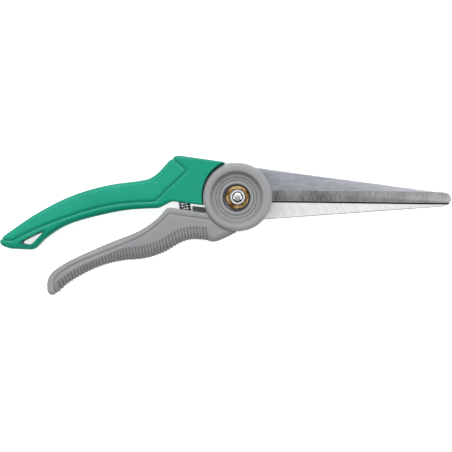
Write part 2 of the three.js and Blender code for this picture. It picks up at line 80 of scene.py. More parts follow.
# ---- materials --------------------------------------------------------------------------
class Look:
    """A node material with a Principled shader, and short ways to add its textures."""

    def __init__(self, name):
        self.material = bpy.data.materials.new(name)
        self.material.use_nodes = True
        self.nodes = self.material.node_tree.nodes
        self.links = self.material.node_tree.links
        self.shader = self.nodes["Principled BSDF"]
        self.coords = self.nodes.new("ShaderNodeTexCoord")

    def set(self, **sockets):
        for name, value in sockets.items():
            self.shader.inputs[name.replace("_", " ")].default_value = value
        return self

    def mapped(self, scale, turn=0.0):
        """Object coordinates in millimetres, turned about Z and then stretched."""
        turned = self.nodes.new("ShaderNodeMapping")
        turned.inputs["Rotation"].default_value = (0, 0, turn)
        stretched = self.nodes.new("ShaderNodeMapping")
        stretched.inputs["Scale"].default_value = [s / MM for s in scale]
        self.links.new(self.coords.outputs["Object"], turned.inputs["Vector"])
        self.links.new(turned.outputs["Vector"], stretched.inputs["Vector"])
        return stretched.outputs["Vector"]

    def pivot_radius(self):
        """Distance from the pivot axis in millimetres."""
        flat = self.nodes.new("ShaderNodeVectorMath")
        flat.operation = "MULTIPLY"
        flat.inputs[1].default_value = (1 / MM, 1 / MM, 0)
        length = self.nodes.new("ShaderNodeVectorMath")
        length.operation = "LENGTH"
        self.links.new(self.coords.outputs["Object"], flat.inputs[0])
        self.links.new(flat.outputs["Vector"], length.inputs[0])
        return length.outputs["Value"]

    def near_pivot(self, radius, fade):
        """1 within a radius of the pivot axis, falling to 0 over the fade."""
        return self.ramp(self.pivot_radius(), 1.0, 0.0, radius, radius + fade)

    def along(self, axis, start, end):
        """0 to 1 along an axis, between two places in millimetres."""
        parts = self.nodes.new("ShaderNodeSeparateXYZ")
        self.links.new(self.coords.outputs["Object"], parts.inputs["Vector"])
        return self.ramp(parts.outputs[axis], 0.0, 1.0, start * MM, end * MM)

    def noise(self, scale, turn=0.0, detail=3.0, roughness=0.55):
        node = self.nodes.new("ShaderNodeTexNoise")
        node.inputs["Scale"].default_value = 1.0
        node.inputs["Detail"].default_value = detail
        node.inputs["Roughness"].default_value = roughness
        self.links.new(self.mapped(scale, turn), node.inputs["Vector"])
        return node.outputs["Fac"]

    def lines(self, turn, along, across, detail=4.0, roughness=0.65):
        """Grinding lines: noise drawn out along one direction in XY."""
        return self.noise((along, across, across), turn, detail, roughness)

    def ramp(self, source, low, high, start=0.3, end=0.7):
        """Low up to where the source is start, high from where it is end, even between."""
        node = self.nodes.new("ShaderNodeMapRange")
        node.inputs["From Min"].default_value = start
        node.inputs["From Max"].default_value = end
        node.inputs["To Min"].default_value = low
        node.inputs["To Max"].default_value = high
        self.links.new(source, node.inputs["Value"])
        return node.outputs["Result"]

    def colours(self, source, first, second, start=0.3, end=0.7):
        """The first colour up to start, the second from end on, blended between."""
        node = self.nodes.new("ShaderNodeValToRGB")
        node.color_ramp.elements[0].position = start
        node.color_ramp.elements[0].color = (*first, 1)
        node.color_ramp.elements[1].position = end
        node.color_ramp.elements[1].color = (*second, 1)
        self.links.new(source, node.inputs["Fac"])
        return node.outputs["Color"]

    def math(self, operation, first, second):
        node = self.nodes.new("ShaderNodeMath")
        node.operation = operation
        for socket, value in zip(node.inputs, (first, second)):
            if isinstance(value, (int, float)):
                socket.default_value = value
            else:
                self.links.new(value, socket)
        return node.outputs["Value"]

    def blend(self, first, second, share):
        """Two 0..1 sources added, the first with its share and the second with the rest."""
        parts = self.math("MULTIPLY", first, share), self.math("MULTIPLY", second, 1 - share)
        return self.math("ADD", *parts)

    def mix(self, amount, first, second):
        node = self.nodes.new("ShaderNodeMix")
        node.data_type = "RGBA"
        for name, value in (("Factor", amount), ("A", first), ("B", second)):
            socket = next(s for s in node.inputs if s.name == name and s.enabled)
            if isinstance(value, (int, float, tuple)):
                socket.default_value = value
            else:
                self.links.new(value, socket)
        return next(s for s in node.outputs if s.enabled)

    def to(self, socket, source):
        self.links.new(source, self.shader.inputs[socket])
        return self

    def bump(self, height, depth_mm):
        node = self.nodes.new("ShaderNodeBump")
        node.inputs["Distance"].default_value = depth_mm * MM
        node.inputs["Strength"].default_value = 1.0
        self.links.new(height, node.inputs["Height"])
        self.links.new(node.outputs["Normal"], self.shader.inputs["Normal"])
        return self


def rgb(red, green, blue):
    """An sRGB colour from 0..255 numbers, as linear values."""
    return tuple(
        c / 12.92 if c <= 0.04045 else ((c + 0.055) / 1.055) ** 2.4
        for c in (red / 255, green / 255, blue / 255)
    )


def plastic(name, dark, light, roughness, grain_depth, scuffs=0.0):
    """Moulded plastic: slow colour clouds, a fine spark-eroded grain, painted shade as deep as the
    mesh's point values ask, and sparse pale scuffs where they are asked for."""
    look = Look(name).set(Specular_IOR_Level=0.28)
    clouds = look.noise((0.05, 0.05, 0.05), detail=4.0)
    base = look.colours(clouds, dark, light)
    specks = look.noise((1.4, 1.4, 1.4), detail=2.0)
    base = look.mix(look.ramp(specks, 0.0, 0.15), base, (*light, 1))
    if scuffs:
        spots = look.noise((0.16, 0.5, 0.5), turn=-0.35, detail=6.0, roughness=0.62)
        pale = tuple(min(1.0, 0.35 + 0.8 * c) for c in light)
        base = look.mix(look.ramp(spots, 0.0, scuffs, 0.67, 0.76), base, (*pale, 1))
    # Painted shade: the base colour darkens towards a dark copy of the plastic wherever the mesh's
    # point values ask.
    painted_shade = look.nodes.new("ShaderNodeAttribute")
    painted_shade.attribute_name = "painted_shade"
    shade_colour = tuple(0.42 * c for c in dark)
    base = look.mix(painted_shade.outputs["Fac"], base, (*shade_colour, 1))
    look.to("Base Color", base)
    look.to("Roughness", look.ramp(clouds, roughness + 0.05, roughness - 0.05))
    grain = look.noise((3.2, 3.2, 3.2), detail=5.0, roughness=0.7)
    return look.bump(grain, grain_depth).material


def brushed_body():
    """The blade's side: brushed lengthwise, mottled, more even towards the tip, and darkened
    about the pivot with painted shade, where the cover's hole shades it."""
    look = Look("blade_brushed").set(Metallic=1.0)
    fine = look.lines(0.0, 0.12, 2.4, detail=5.0, roughness=0.75)
    mottle = look.noise((0.2, 0.9, 0.9), detail=5.0, roughness=0.75)
    shade = look.blend(fine, mottle, 0.6)
    near = look.colours(shade, rgb(170, 173, 185), rgb(212, 214, 221), 0.4, 0.6)
    far = look.colours(shade, rgb(174, 176, 183), rgb(200, 201, 206), 0.4, 0.6)
    steel = look.mix(look.along("X", 30, 137), near, far)
    # Painted shade within the cover's hole, about the pivot.
    pivot_shaded = look.mix(look.near_pivot(10.5, 2.0), steel, (*rgb(104, 104, 112), 1))
    look.to("Base Color", pivot_shaded)
    look.to("Roughness", look.ramp(fine, 0.42, 0.32))
    return look.bump(fine, 0.006).material


def ground_bevel():
    """The cutting bevel: ground crosswise, in bands, darkest beside the heel."""
    look = Look("blade_bevel").set(Metallic=1.0)
    fine = look.lines(math.pi / 2, 0.03, 0.75, detail=5.0, roughness=0.75)
    bands = look.lines(math.pi / 2, 0.006, 0.1, detail=2.0)
    shade = look.blend(fine, bands, 0.55)
    near = look.colours(shade, rgb(104, 106, 106), rgb(204, 206, 204), 0.4, 0.6)
    far = look.colours(shade, rgb(176, 178, 178), rgb(218, 220, 218), 0.4, 0.6)
    look.to("Base Color", look.mix(look.along("X", 24, 92), near, far))
    look.to("Roughness", look.ramp(fine, 0.46, 0.34))
    return look.bump(fine, 0.01).material


def lapped_face():
    """The back blade's face: bright, with two crossing sets of faint grinding marks, greyer
    towards the tip and on the shoulder beside the hub."""
    look = Look("blade_lapped").set(Metallic=1.0)
    first = look.lines(math.radians(57), 0.03, 0.9, detail=3.0)
    second = look.lines(math.radians(-50), 0.05, 1.3, detail=3.0)
    shade = look.blend(first, second, 0.62)
    heel = look.colours(shade, rgb(234, 234, 235), rgb(252, 252, 252), 0.4, 0.6)
    tip = look.colours(shade, rgb(214, 214, 215), rgb(232, 232, 232), 0.4, 0.6)
    bright = look.mix(look.along("X", 40, 110), heel, tip)
    dull = (*rgb(208, 211, 218), 1)
    shoulder = look.math("MULTIPLY", look.near_pivot(24.0, 1.5), look.along("Y", 4, 8))
    look.to("Base Color", look.mix(shoulder, bright, dull))
    look.to("Roughness", look.ramp(first, 0.56, 0.46))
    return look.bump(shade, 0.006).material


def turned_metal(name, dark, light, roughness, depth, patches=0.5):
    """Metal faced on a lathe: rings about the pivot axis, with patches of tarnish."""
    look = Look(name).set(Metallic=1.0)
    rings = look.nodes.new("ShaderNodeTexNoise")
    rings.noise_dimensions = "1D"
    rings.inputs["Scale"].default_value = 5.0
    rings.inputs["Detail"].default_value = 3.0
    look.links.new(look.pivot_radius(), rings.inputs["W"])
    tarnish = look.noise((patches, patches, patches), detail=5.0, roughness=0.62)
    look.to("Base Color", look.colours(tarnish, dark, light, 0.38, 0.62))
    look.to("Roughness", look.ramp(rings.outputs["Fac"], roughness + 0.08, roughness - 0.06))
    return look.bump(rings.outputs["Fac"], depth).material


def wire_steel():
    """Bright drawn wire."""
    look = Look("spring_wire").set(Metallic=1.0)
    drawn = look.noise((0.8, 0.8, 0.8), detail=4.0)
    look.to("Base Color", look.colours(drawn, rgb(196, 197, 200), rgb(244, 244, 246)))
    look.to("Roughness", look.ramp(drawn, 0.3, 0.18))
    return look.bump(drawn, 0.003).material


LOOKS = {
    "palm_plastic": plastic("green_satin", rgb(0, 134, 106), rgb(3, 140, 113), 0.44, 0.012),
    "palm_soft": plastic("green_soft", rgb(0, 136, 108), rgb(6, 144, 117), 0.54, 0.02, scuffs=0.45),
    "finger_plastic": plastic("grey_satin", rgb(137, 138, 139), rgb(144, 145, 146), 0.46, 0.012),
    "finger_soft": plastic("grey_soft", rgb(130, 131, 133), rgb(138, 139, 141), 0.56, 0.02),
    "black_plastic": plastic("black_matt", rgb(22, 22, 24), rgb(34, 34, 36), 0.55, 0.012),
    "dark_rubber": plastic("dark_rubber", rgb(112, 114, 117), rgb(122, 124, 127), 0.7, 0.02),
    "blade_body": brushed_body(),
    "blade_bevel": ground_bevel(),
    "blade_face": lapped_face(),
    # Painted highlight and painted shadow for the strip below the front blade's bevel.
    "edge_painted_highlight": turned_metal("edge_painted_highlight", rgb(226, 228, 230), rgb(245, 245, 245), 0.3, 0.002),
    "edge_painted_shadow": turned_metal("edge_painted_shadow", rgb(14, 14, 15), rgb(26, 26, 27), 0.6, 0.002),
    # Eased blade rims: a painted highlight on the front blade, painted shade on the back one.
    "rim_painted_highlight": turned_metal("rim_painted_highlight", rgb(206, 208, 212), rgb(228, 229, 231), 0.35, 0.002),
    "rim_painted_shade": turned_metal("rim_painted_shade", rgb(120, 122, 126), rgb(150, 152, 156), 0.45, 0.002),
    "steel": turned_metal("zinc_steel", rgb(168, 170, 174), rgb(238, 238, 240), 0.26, 0.004),
    # Steel in a lit and a shaded copy: a painted highlight on the nut's level faces, painted shade
    # on its sides and on the bolt's shank.
    "nut_top_painted_highlight": turned_metal("nut_top_painted_highlight", rgb(214, 215, 217), rgb(250, 250, 250), 0.4, 0.004),
    "nut_side_painted_shade": turned_metal("nut_side_painted_shade", rgb(26, 23, 20), rgb(60, 54, 46), 0.42, 0.004),
    "brass": turned_metal("brass", rgb(128, 86, 36), rgb(246, 212, 146), 0.34, 0.006, 0.28),
    "spring_steel": wire_steel(),
}


# ---- mesh helpers -----------------------------------------------------------------------
def make_object(name, points_mm, faces, body, nodes, looks, sharp_deg=32.0, painted_shade=None):
    """Adds a mesh in millimetres as a piece that rides on a body and stands for CAD nodes.
    Edges that turn more than sharp_deg stay sharp. The last argument gives, for each point,
    how much painted shade darkens it."""
    mesh = bpy.data.meshes.new(name)
    mesh.from_pydata((np.asarray(points_mm, float) * MM).tolist(), [], faces)
    # The points' painted shade, which the plastic materials read.
    if painted_shade is not None:
        marks = mesh.attributes.new("painted_shade", "FLOAT", "POINT")
        marks.data.foreach_set("value", np.clip(painted_shade, 0, 1).astype(np.float32))
    edit = bmesh.new()
    edit.from_mesh(mesh)
    bmesh.ops.recalc_face_normals(edit, faces=edit.faces)
    for face in edit.faces:
        face.smooth = True
    for edge in edit.edges:
        if len(edge.link_faces) == 2:
            edge.smooth = edge.calc_face_angle(0.0) < math.radians(sharp_deg)
    edit.to_mesh(mesh)
    edit.free()
    for look in looks:
        mesh.materials.append(LOOKS[look])
    piece = bpy.data.objects.new(name, mesh)
    bpy.context.scene.collection.objects.link(piece)
    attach(piece, body)
    if nodes:
        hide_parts(*nodes)
    return piece


def section(node, height):
    """The outline of a CAD node at one height, as unordered segments in XY."""
    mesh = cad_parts[node].data
    mesh.calc_loop_triangles()
    points = np.array([v.co for v in mesh.vertices]) / MM
    corner = points[np.array([t.vertices for t in mesh.loop_triangles])]
    above = corner[:, :, 2] > height
    mixed = above.any(axis=1) & ~above.all(axis=1)
    start, above = corner[mixed], above[mixed]
    end = np.roll(start, -1, axis=1)
    cut = above != np.roll(above, -1, axis=1)
    start, end = start[cut], end[cut]
    share = (height - start[:, 2]) / (end[:, 2] - start[:, 2])
    crossing = start[:, :2] + share[:, None] * (end - start)[:, :2]
    return crossing.reshape(-1, 2, 2)


def distance_to(segments, x, y):
    """Distance of each grid point to the nearest segment."""
    nearest = np.full(x.shape, 1e6)
    for (ax, ay), (bx, by) in segments:
        dx, dy = bx - ax, by - ay
        length = dx * dx + dy * dy
        if length < 1e-9:
            continue
        along = np.clip(((x - ax) * dx + (y - ay) * dy) / length, 0, 1)
        nearest = np.minimum(nearest, (x - ax - along * dx) ** 2 + (y - ay - along * dy) ** 2)
    return np.sqrt(nearest)


def signed_distance(segments, x, y):
    """Negative inside the closed outlines that the segments form."""
    inside = np.zeros(x.shape, bool)
    for (ax, ay), (bx, by) in segments:
        if ay == by:
            continue
        crosses = ((ay > y) != (by > y)) & (x < ax + (y - ay) * (bx - ax) / (by - ay))
        inside ^= crosses
    distance = distance_to(segments, x, y)
    return np.where(inside, -distance, distance)


def blurred(field, radius, step):
    """Softens a 2D field, which takes the facets off a drawn curve."""
    reach = int(3 * radius / step)
    weights = np.exp(-0.5 * (np.arange(-reach, reach + 1) * step / radius) ** 2)
    weights /= weights.sum()
    for axis in (0, 1):
        padded = np.pad(field, [(reach, reach) if a == axis else (0, 0) for a in (0, 1)], "edge")
        length = field.shape[axis]
        field = sum(
            w * np.take(padded, range(i, i + length), axis=axis) for i, w in enumerate(weights)
        )
    return field


def smoothstep(low, high, value):
    t = np.clip((value - low) / (high - low), 0, 1)
    return t * t * (3 - 2 * t)


def bell(distance, width):
    """1 at no distance, falling off smoothly to both sides."""
    return np.exp(-((distance / width) ** 2))


def rounded_both(a, b, radius):
    """Intersection of two distance fields with a rounded edge."""
    a, b = a + radius, b + radius
    outer = np.hypot(np.maximum(a, 0), np.maximum(b, 0))
    return np.minimum(np.maximum(a, b), 0) + outer - radius


def cut_away(solid, tool, radius):
    """Solid without tool, with the new edge rounded."""
    return rounded_both(solid, -tool, radius)


def surface(values, origin, step):
    """Closed quad mesh on the zero level of a 3D field, by surface nets."""
    inside = values < 0
    shape = np.array(values.shape) - 1
    corners = [(i, j, k) for i in (0, 1) for j in (0, 1) for k in (0, 1)]

    def shifted(array, corner):
        i, j, k = corner
        return array[i : i + shape[0], j : j + shape[1], k : k + shape[2]]

    filled = sum(shifted(inside, c).astype(np.int8) for c in corners)
    active = (filled > 0) & (filled < 8)
    cells = np.argwhere(active)
    number = np.full(shape, -1)
    number[active] = np.arange(len(cells))
    total = np.zeros((len(cells), 3))
    count = np.zeros(len(cells))
    for first in corners:
        for axis in range(3):
            if first[axis]:
                continue
            second = tuple(1 if a == axis else c for a, c in enumerate(first))
            a = values[tuple((cells + first).T)]
            b = values[tuple((cells + second).T)]
            crossing = (a < 0) != (b < 0)
            share = np.where(crossing, a / np.where(crossing, a - b, 1), 0)
            point = np.array(first) + share[:, None] * (np.array(second) - first)
            total[crossing] += point[crossing]
            count[crossing] += 1
    points = (cells + total / count[:, None]) * step + origin

    faces = []
    for axis in range(3):
        u, v = (axis + 1) % 3, (axis + 2) % 3
        here = np.take(inside, range(0, values.shape[axis] - 1), axis)
        there = np.take(inside, range(1, values.shape[axis]), axis)
        edges = np.argwhere(here != there)
        edges = edges[(edges[:, u] > 0) & (edges[:, v] > 0)]
        edges = edges[(edges[:, u] < shape[u]) & (edges[:, v] < shape[v])]
        around = []
        for du, dv in ((1, 1), (0, 1), (0, 0), (1, 0)):
            cell = edges.copy()
            cell[:, u] -= du
            cell[:, v] -= dv
            around.append(number[tuple(cell.T)])
        quads = np.stack(around, axis=1)
        flip = ~here[tuple(edges.T)]
        quads[flip] = quads[flip][:, ::-1]
        faces.append(quads)
    return points, np.concatenate(faces).tolist()


def grid_over(low, high, step, margin=1.2):
    """Grid axes that cover a box with a little room on every side."""
    return [np.arange(a - margin, b + margin + step, step) for a, b in zip(low, high)]


# ---- handles and grip pads --------------------------------------------------------------
FRONT_CUT = 17.55  # a height at which a handle's CAD outline holds neither core nor rounding
RECESS_CUT = 3.5  # a height within the catch's recess
RECESS_TOP = 4.4
FACET_BLUR = 0.8
BLUR_LIFT = 0.25  # how far the blur lifts a distance off zero along its line
FACE_ROUND = 0.3  # least rounding between a face and a side
SEAM_WIDTH = 0.6  # outlines of a handle and its pad run side by side at less than this
SEAM_GROOVE_W = 0.95
GROWTH = 0.16  # handle and pad meet in the middle of the gap between their CAD nodes
CROWN = 0.9  # how much lower than in their middle the faces lie along the outer edges
HUB_CLEARANCE_R = 23  # the handles' arcs about the hub lie within this radius
HUB_GROWTH = 0.25  # the finger handle closes up to the hub
SWEEP_CENTRE = (0.5, 1.0)  # the palm handle's arc about the front cover widens towards +Y
SWEEP_R = 23.3
POCKET_R = 4.5  # the round pocket that the spring stands in
POCKET_FLOOR = -2.9  # along the spring's axis, from the middle of the finger side's seat
SEAM_SHADE = 0.3  # painted shade in the seam's groove, for each millimetre of its depth
# Painted shade along the outer edges and round the holes.
EDGE_SHADE = 0.34
HOLE_SHADE = 0.9

RIB_FIRST_X = -113.4
RIB_PITCH = 1.96
RIB_COUNT = 49
RIB_DEPTH = 0.75  # of the grooves in the faces
RIB_NOTCH = 0.45  # of the grooves in the belly
RIB_SWELL = 0.2  # how far the belly stands out between them
# Painted shade in the grip's grooves.
RIB_SHADE = 0.42
RIBBED_X = (-113.5, -17.5)  # the stretch of the belly that stands out


def spring_axis():
    """A point on the coil spring's axis and the axis direction, towards the palm."""
    low = centre_mm("finger_spring_seat")
    high = centre_mm("palm_spring_seat")
    return low, (high - low) / np.linalg.norm(high - low)


def spring_pocket(x, y, z):
    """Distance field of the round pocket that the spring stands in."""
    start, axis = spring_axis()
    offset = [x - start[0], y - start[1], z - start[2]]
    along = sum(o * a for o, a in zip(offset, axis))
    beside = np.sqrt(np.maximum(sum(o * o for o in offset) - along**2, 0))
    length = np.linalg.norm(centre_mm("palm_spring_seat") - start) - 2 * POCKET_FLOOR
    ends = np.maximum(POCKET_FLOOR - along, along - (length + POCKET_FLOOR))
    return np.maximum(beside - POCKET_R, ends)


def loops(segments):
    """The closed outlines among unordered segments, the longest first."""
    def key(point):
        return tuple(np.round(point, 3))

    following = {}
    for start, end in segments:
        following.setdefault(key(start), []).append(end)
        following.setdefault(key(end), []).append(start)
    found = []
    unused = set(following)
    while unused:
        here = first = min(unused)
        loop = []
        while here in unused:
            unused.discard(here)
            onward = [p for p in following[here] if key(p) in unused]
            step = onward[0] if onward else np.array(first)
            loop.append((np.array(here), np.array(key(step))))
            here = key(step)
        found.append(np.array(loop))
    return sorted(found, key=lambda loop: -np.linalg.norm(loop[:, 1] - loop[:, 0], axis=1).sum())


def edge_radius(x, y, near, far):
    """Edges are crisper beside the hub than along the grips."""
    return near + (far - near) * smoothstep(34, 62, np.hypot(x, y))


def away_from_hub(segments):
    """The segments that are not part of the arcs about the hub."""
    return segments[np.hypot(*segments.mean(axis=1).T) > HUB_CLEARANCE_R + 0.5]


def outline_parts(own, other):
    """A piece's seam with its partner, its free edge, and the free edge of the two together."""
    outline, partner_outline = loops(own)[0], loops(other)[0]
    beside = distance_to(other, *outline.mean(axis=1).T) < SEAM_WIDTH
    apart = distance_to(own, *partner_outline.mean(axis=1).T) > SEAM_WIDTH
    free = away_from_hub(outline[~beside])
    return outline[beside], free, np.concatenate([free, away_from_hub(partner_outline[apart])])


def outline_field(node, height, x, y, step):
    """Distance field of a CAD outline, freed of its facets away from the hub."""
    field = signed_distance(section(node, height), x, y)
    smooth = blurred(field, FACET_BLUR, step)
    hub_share = smoothstep(HUB_CLEARANCE_R + 1, HUB_CLEARANCE_R + 7, np.hypot(x, y))
    return field + (smooth - field) * hub_share


def rounded_drop(edge, radius):
    """How far a face falls near an outer edge of this radius."""
    inside = np.clip(edge, 0, radius)
    return radius - np.sqrt(radius**2 - (radius - inside) ** 2)


def rib_field(x, edge):
    """How deep the grooves of the finger grip are at each point, 0..1. They lean back from
    the belly, most at the tail and a little at the bulge, and are shorter at the tail."""
    lean = 8 + 9 * bell(x + 114, 30) + 4 * bell(x + 45, 18)
    foot = x + edge * np.tan(np.radians(lean))
    length = 4.5 + 3.1 * smoothstep(-90, -68, foot)
    turns = (foot - RIB_FIRST_X) / RIB_PITCH
    wave = 0.5 + 0.5 * np.cos(2 * np.pi * turns)
    ends = smoothstep(-0.5, -0.3, turns) * (1 - smoothstep(0.3, 0.5, turns - RIB_COUNT + 1))
    return smoothstep(0.2, 0.8, wave) * ends * (1 - smoothstep(-0.9, 0.3, edge - length))


def sampled(field, axes, step, points):
    """Values of a 2D field at the points of a mesh."""
    i = np.clip(np.rint((points[:, 0] - axes[0][0]) / step).astype(int), 0, field.shape[0] - 1)
    j = np.clip(np.rint((points[:, 1] - axes[1][0]) / step).astype(int), 0, field.shape[1] - 1)
    return field[i, j]


def stacked(layers, half, heights):
    """3D field of a piece from its outline fields and its half thickness at each point."""
    values = np.empty((*half.shape, len(heights)))
    for k, z in enumerate(heights):
        cut = FRONT_CUT if z >= RECESS_TOP else RECESS_CUT
        values[:, :, k] = rounded_both(layers[cut], np.abs(z - HANDLE_MID) - half, FACE_ROUND)
    return values


def clear_of_cover(values, x, y, heights):
    """Cuts the arc in which the front cover turns, above the sliding plane."""
    sweep = np.hypot(x - SWEEP_CENTRE[0], y - SWEEP_CENTRE[1]) - SWEEP_R
    above = (heights > SLIDE_Z + 0.5)[None, None, :]
    return np.where(above, np.maximum(values, -sweep[:, :, None]), values)


def handle_piece(name, node, partner, body, slot, edge_radii, step, seam=0.55, ribs=False):
    """A handle or its pad: the CAD outlines with soft outer edges, a crowned face, a groove
    of depth `seam` where the two meet, and the spring's pocket."""
    axes = grid_over(*box_mm(node), step)
    x, y = np.meshgrid(axes[0], axes[1], indexing="ij")
    from_pivot = np.hypot(x, y)
    own, other = section(node, FRONT_CUT), section(partner, FRONT_CUT)
    seam_line, free, outer = outline_parts(own, other)
    edge = blurred(distance_to(outer, x, y), FACET_BLUR, step)
    edge -= BLUR_LIFT * np.exp(-edge / FACET_BLUR)
    edge_depth = np.maximum(edge, 0)

    by_seam = np.abs(signed_distance(other, x, y)) < 2 * SEAM_WIDTH
    growth = GROWTH * by_seam * (edge > SEAM_WIDTH)
    if body == FINGER:
        growth = np.maximum(growth, HUB_GROWTH * (from_pivot < HUB_CLEARANCE_R))
    cuts = (FRONT_CUT, RECESS_CUT)
    layers = {cut: outline_field(node, cut, x, y, step) - growth for cut in cuts}

    groove = bell(distance_to(seam_line, x, y), SEAM_GROOVE_W)
    crown = CROWN * np.exp(-edge_depth / 5) * smoothstep(36, 60, from_pivot)
    drop = rounded_drop(edge, edge_radius(x, y, *edge_radii))
    half = HANDLE_HALF - drop - crown - seam * groove
    # Painted shade in the seam's groove, along the outer edges and round the holes.
    painted_shade = np.maximum(SEAM_SHADE * seam * groove, EDGE_SHADE * bell(edge_depth, 0.9))
    for hole in loops(own)[1:]:
        painted_shade = np.maximum(painted_shade, HOLE_SHADE * bell(distance_to(hole, x, y), 0.5))
    if ribs:
        rib = rib_field(x, blurred(distance_to(free, x, y), FACET_BLUR, step))
        half = half - RIB_DEPTH * rib
        # Painted shade in the grip's grooves as well.
        painted_shade = np.maximum(painted_shade, RIB_SHADE * rib)
        belly = np.exp(-edge_depth / 1.2)
        first, last = RIBBED_X
        ribbed = smoothstep(first - 1.5, first + 1.5, x)
        ribbed = ribbed * (1 - smoothstep(last - 1.5, last + 1.5, x))
        for cut in cuts:
            layers[cut] = layers[cut] + belly * (RIB_NOTCH * rib - RIB_SWELL * ribbed)

    values = stacked(layers, half, axes[2])
    pocket = spring_pocket(x[:, :, None], y[:, :, None], axes[2][None, None, :])
    values = cut_away(values, pocket, 0.4)
    if body == PALM:
        values = clear_of_cover(values, x, y, axes[2])
    points, faces = surface(values, np.array([a[0] for a in axes]), step)
    marks = sampled(painted_shade, axes, step, points)
    return make_object(name, points, faces, body, [node], [slot], 70, marks)


# ---- hub covers, nut, bolt and washer ---------------------------------------------------
def fillet(profile, radius, steps=4):
    """Rounds the corners of an open profile of (r, z) points."""
    points = [np.array(profile[0], float)]
    for before, corner, after in zip(profile, profile[1:], profile[2:]):
        before, corner, after = (np.array(p, float) for p in (before, corner, after))
        back, on = before - corner, after - corner
        reach = min(radius, np.linalg.norm(back) * 0.45, np.linalg.norm(on) * 0.45)
        start = corner + back / np.linalg.norm(back) * reach
        end = corner + on / np.linalg.norm(on) * reach
        for i in range(steps + 1):
            t = i / steps
            points.append((1 - t) ** 2 * start + 2 * t * (1 - t) * corner + t * t * end)
    points.append(np.array(profile[-1], float))
    return points


def lofted(rings):
    """Points and faces of a closed surface through rings of equal length, the last joined to
    the first."""
    count = len(rings[0])
    points = np.concatenate(rings)
    faces = []
    for r in range(len(rings)):
        here, there = r * count, ((r + 1) % len(rings)) * count
        for i in range(count):
            j = (i + 1) % count
            faces.append((here + i, here + j, there + j, there + i))
    return points, faces


def ring(radius, z, centre=(0, 0), sides=160):
    """A level circle; radius and z may vary from point to point."""
    angle = np.linspace(0, 2 * np.pi, sides, endpoint=False)
    x = centre[0] + radius * np.cos(angle)
    y = centre[1] + radius * np.sin(angle)
    return np.stack([x, y, np.broadcast_to(z, angle.shape)], axis=1)


COVER_GAP = 0.3  # between a cover and its blade
CREST_R = 17.9
DISH_OFFSET = (-0.7, -0.5)
DISH_R = 15.7
DISH_DEPTH = 3.5
DISH_SLOPE = 0.09  # the dish's floor falls towards the hole
RING_GROOVES = ((15.3, 0.2), (13.2, 0.55), (12.2, 0.2), (11.2, 0.55))  # radius and depth
HOLE_R = 8.9
FLOOR_SHADE = 0.09  # painted shade on the dish's floor


def hub_cover(name, node, body, slot):
    """A cover with a rounded rim and a dish of shallow ring steps about a hole. The dish sits
    a little off the rim's centre. The rear one is the front one's mirror image."""
    low, high = box_mm(node)
    rim_r = (high[0] - low[0]) / 2
    if high[2] > SLIDE_Z * 1.5:
        crest, down = high[2], -1
        base = box_mm("front_blade")[1][2] + COVER_GAP
    else:
        crest, down = low[2], 1
        base = box_mm("back_blade")[0][2] - COVER_GAP

    def at(radius, depth, shade_amount=0.0):
        """A point of the profile, this far below the crest, with how much painted shade it gets."""
        return (radius, crest + down * depth, shade_amount)

    # The third value of each point is painted shade: on the dish's wall and floor, deeper in the
    # ring grooves, and down in the hole.
    profile = [
        (rim_r - 0.6, base, 0.0),
        (rim_r, base - down * 0.6, 0.0),
        at(rim_r, 2.6),
        at(rim_r - 0.5, 1.0),
        at(rim_r - 1.7, 0.2),
        at(CREST_R + 1.2, 0.0),
        at(17.4, 0.15),
        at(16.7, 0.9),
        at(16.1, 2.6, 0.14),
        at(DISH_R, 3.3, 0.12),
    ]
    for radius, depth in RING_GROOVES:
        floor = DISH_DEPTH + DISH_SLOPE * (DISH_R - radius)
        wide = 0.12 + 0.4 * depth
        profile += [
            at(radius + wide, floor, FLOOR_SHADE),
            at(radius, floor + depth, FLOOR_SHADE + 1.3 * depth),
            at(radius - wide, floor, FLOOR_SHADE),
        ]
    profile += [
        at(10.6, 3.7, 0.07),
        at(9.2, 3.75, 0.07),
        at(HOLE_R, 4.1),
        (HOLE_R, base, 0.3),
        (HOLE_R + 0.7, base, 0.3),
    ]
    rings = []
    painted_shade = []
    for radius, z, shade_amount in fillet(profile, 0.3, steps=3):
        share = 1 - smoothstep(CREST_R - 1, rim_r - 1, radius)
        rings.append(ring(radius, z, [offset * share for offset in DISH_OFFSET]))
        painted_shade += [shade_amount] * len(rings[-1])
    points, faces = lofted(rings)
    return make_object(name, points, faces, body, [node], [slot], 50, np.array(painted_shade))


NUT_SIDES = 144
THREAD_HOLE_R = 3.35
THREAD_MOUTH = 0.15  # chamfer at the thread's two ends
CORNER_CUT = 0.35  # how far inside the flats the chamfer of the nut's corners begins


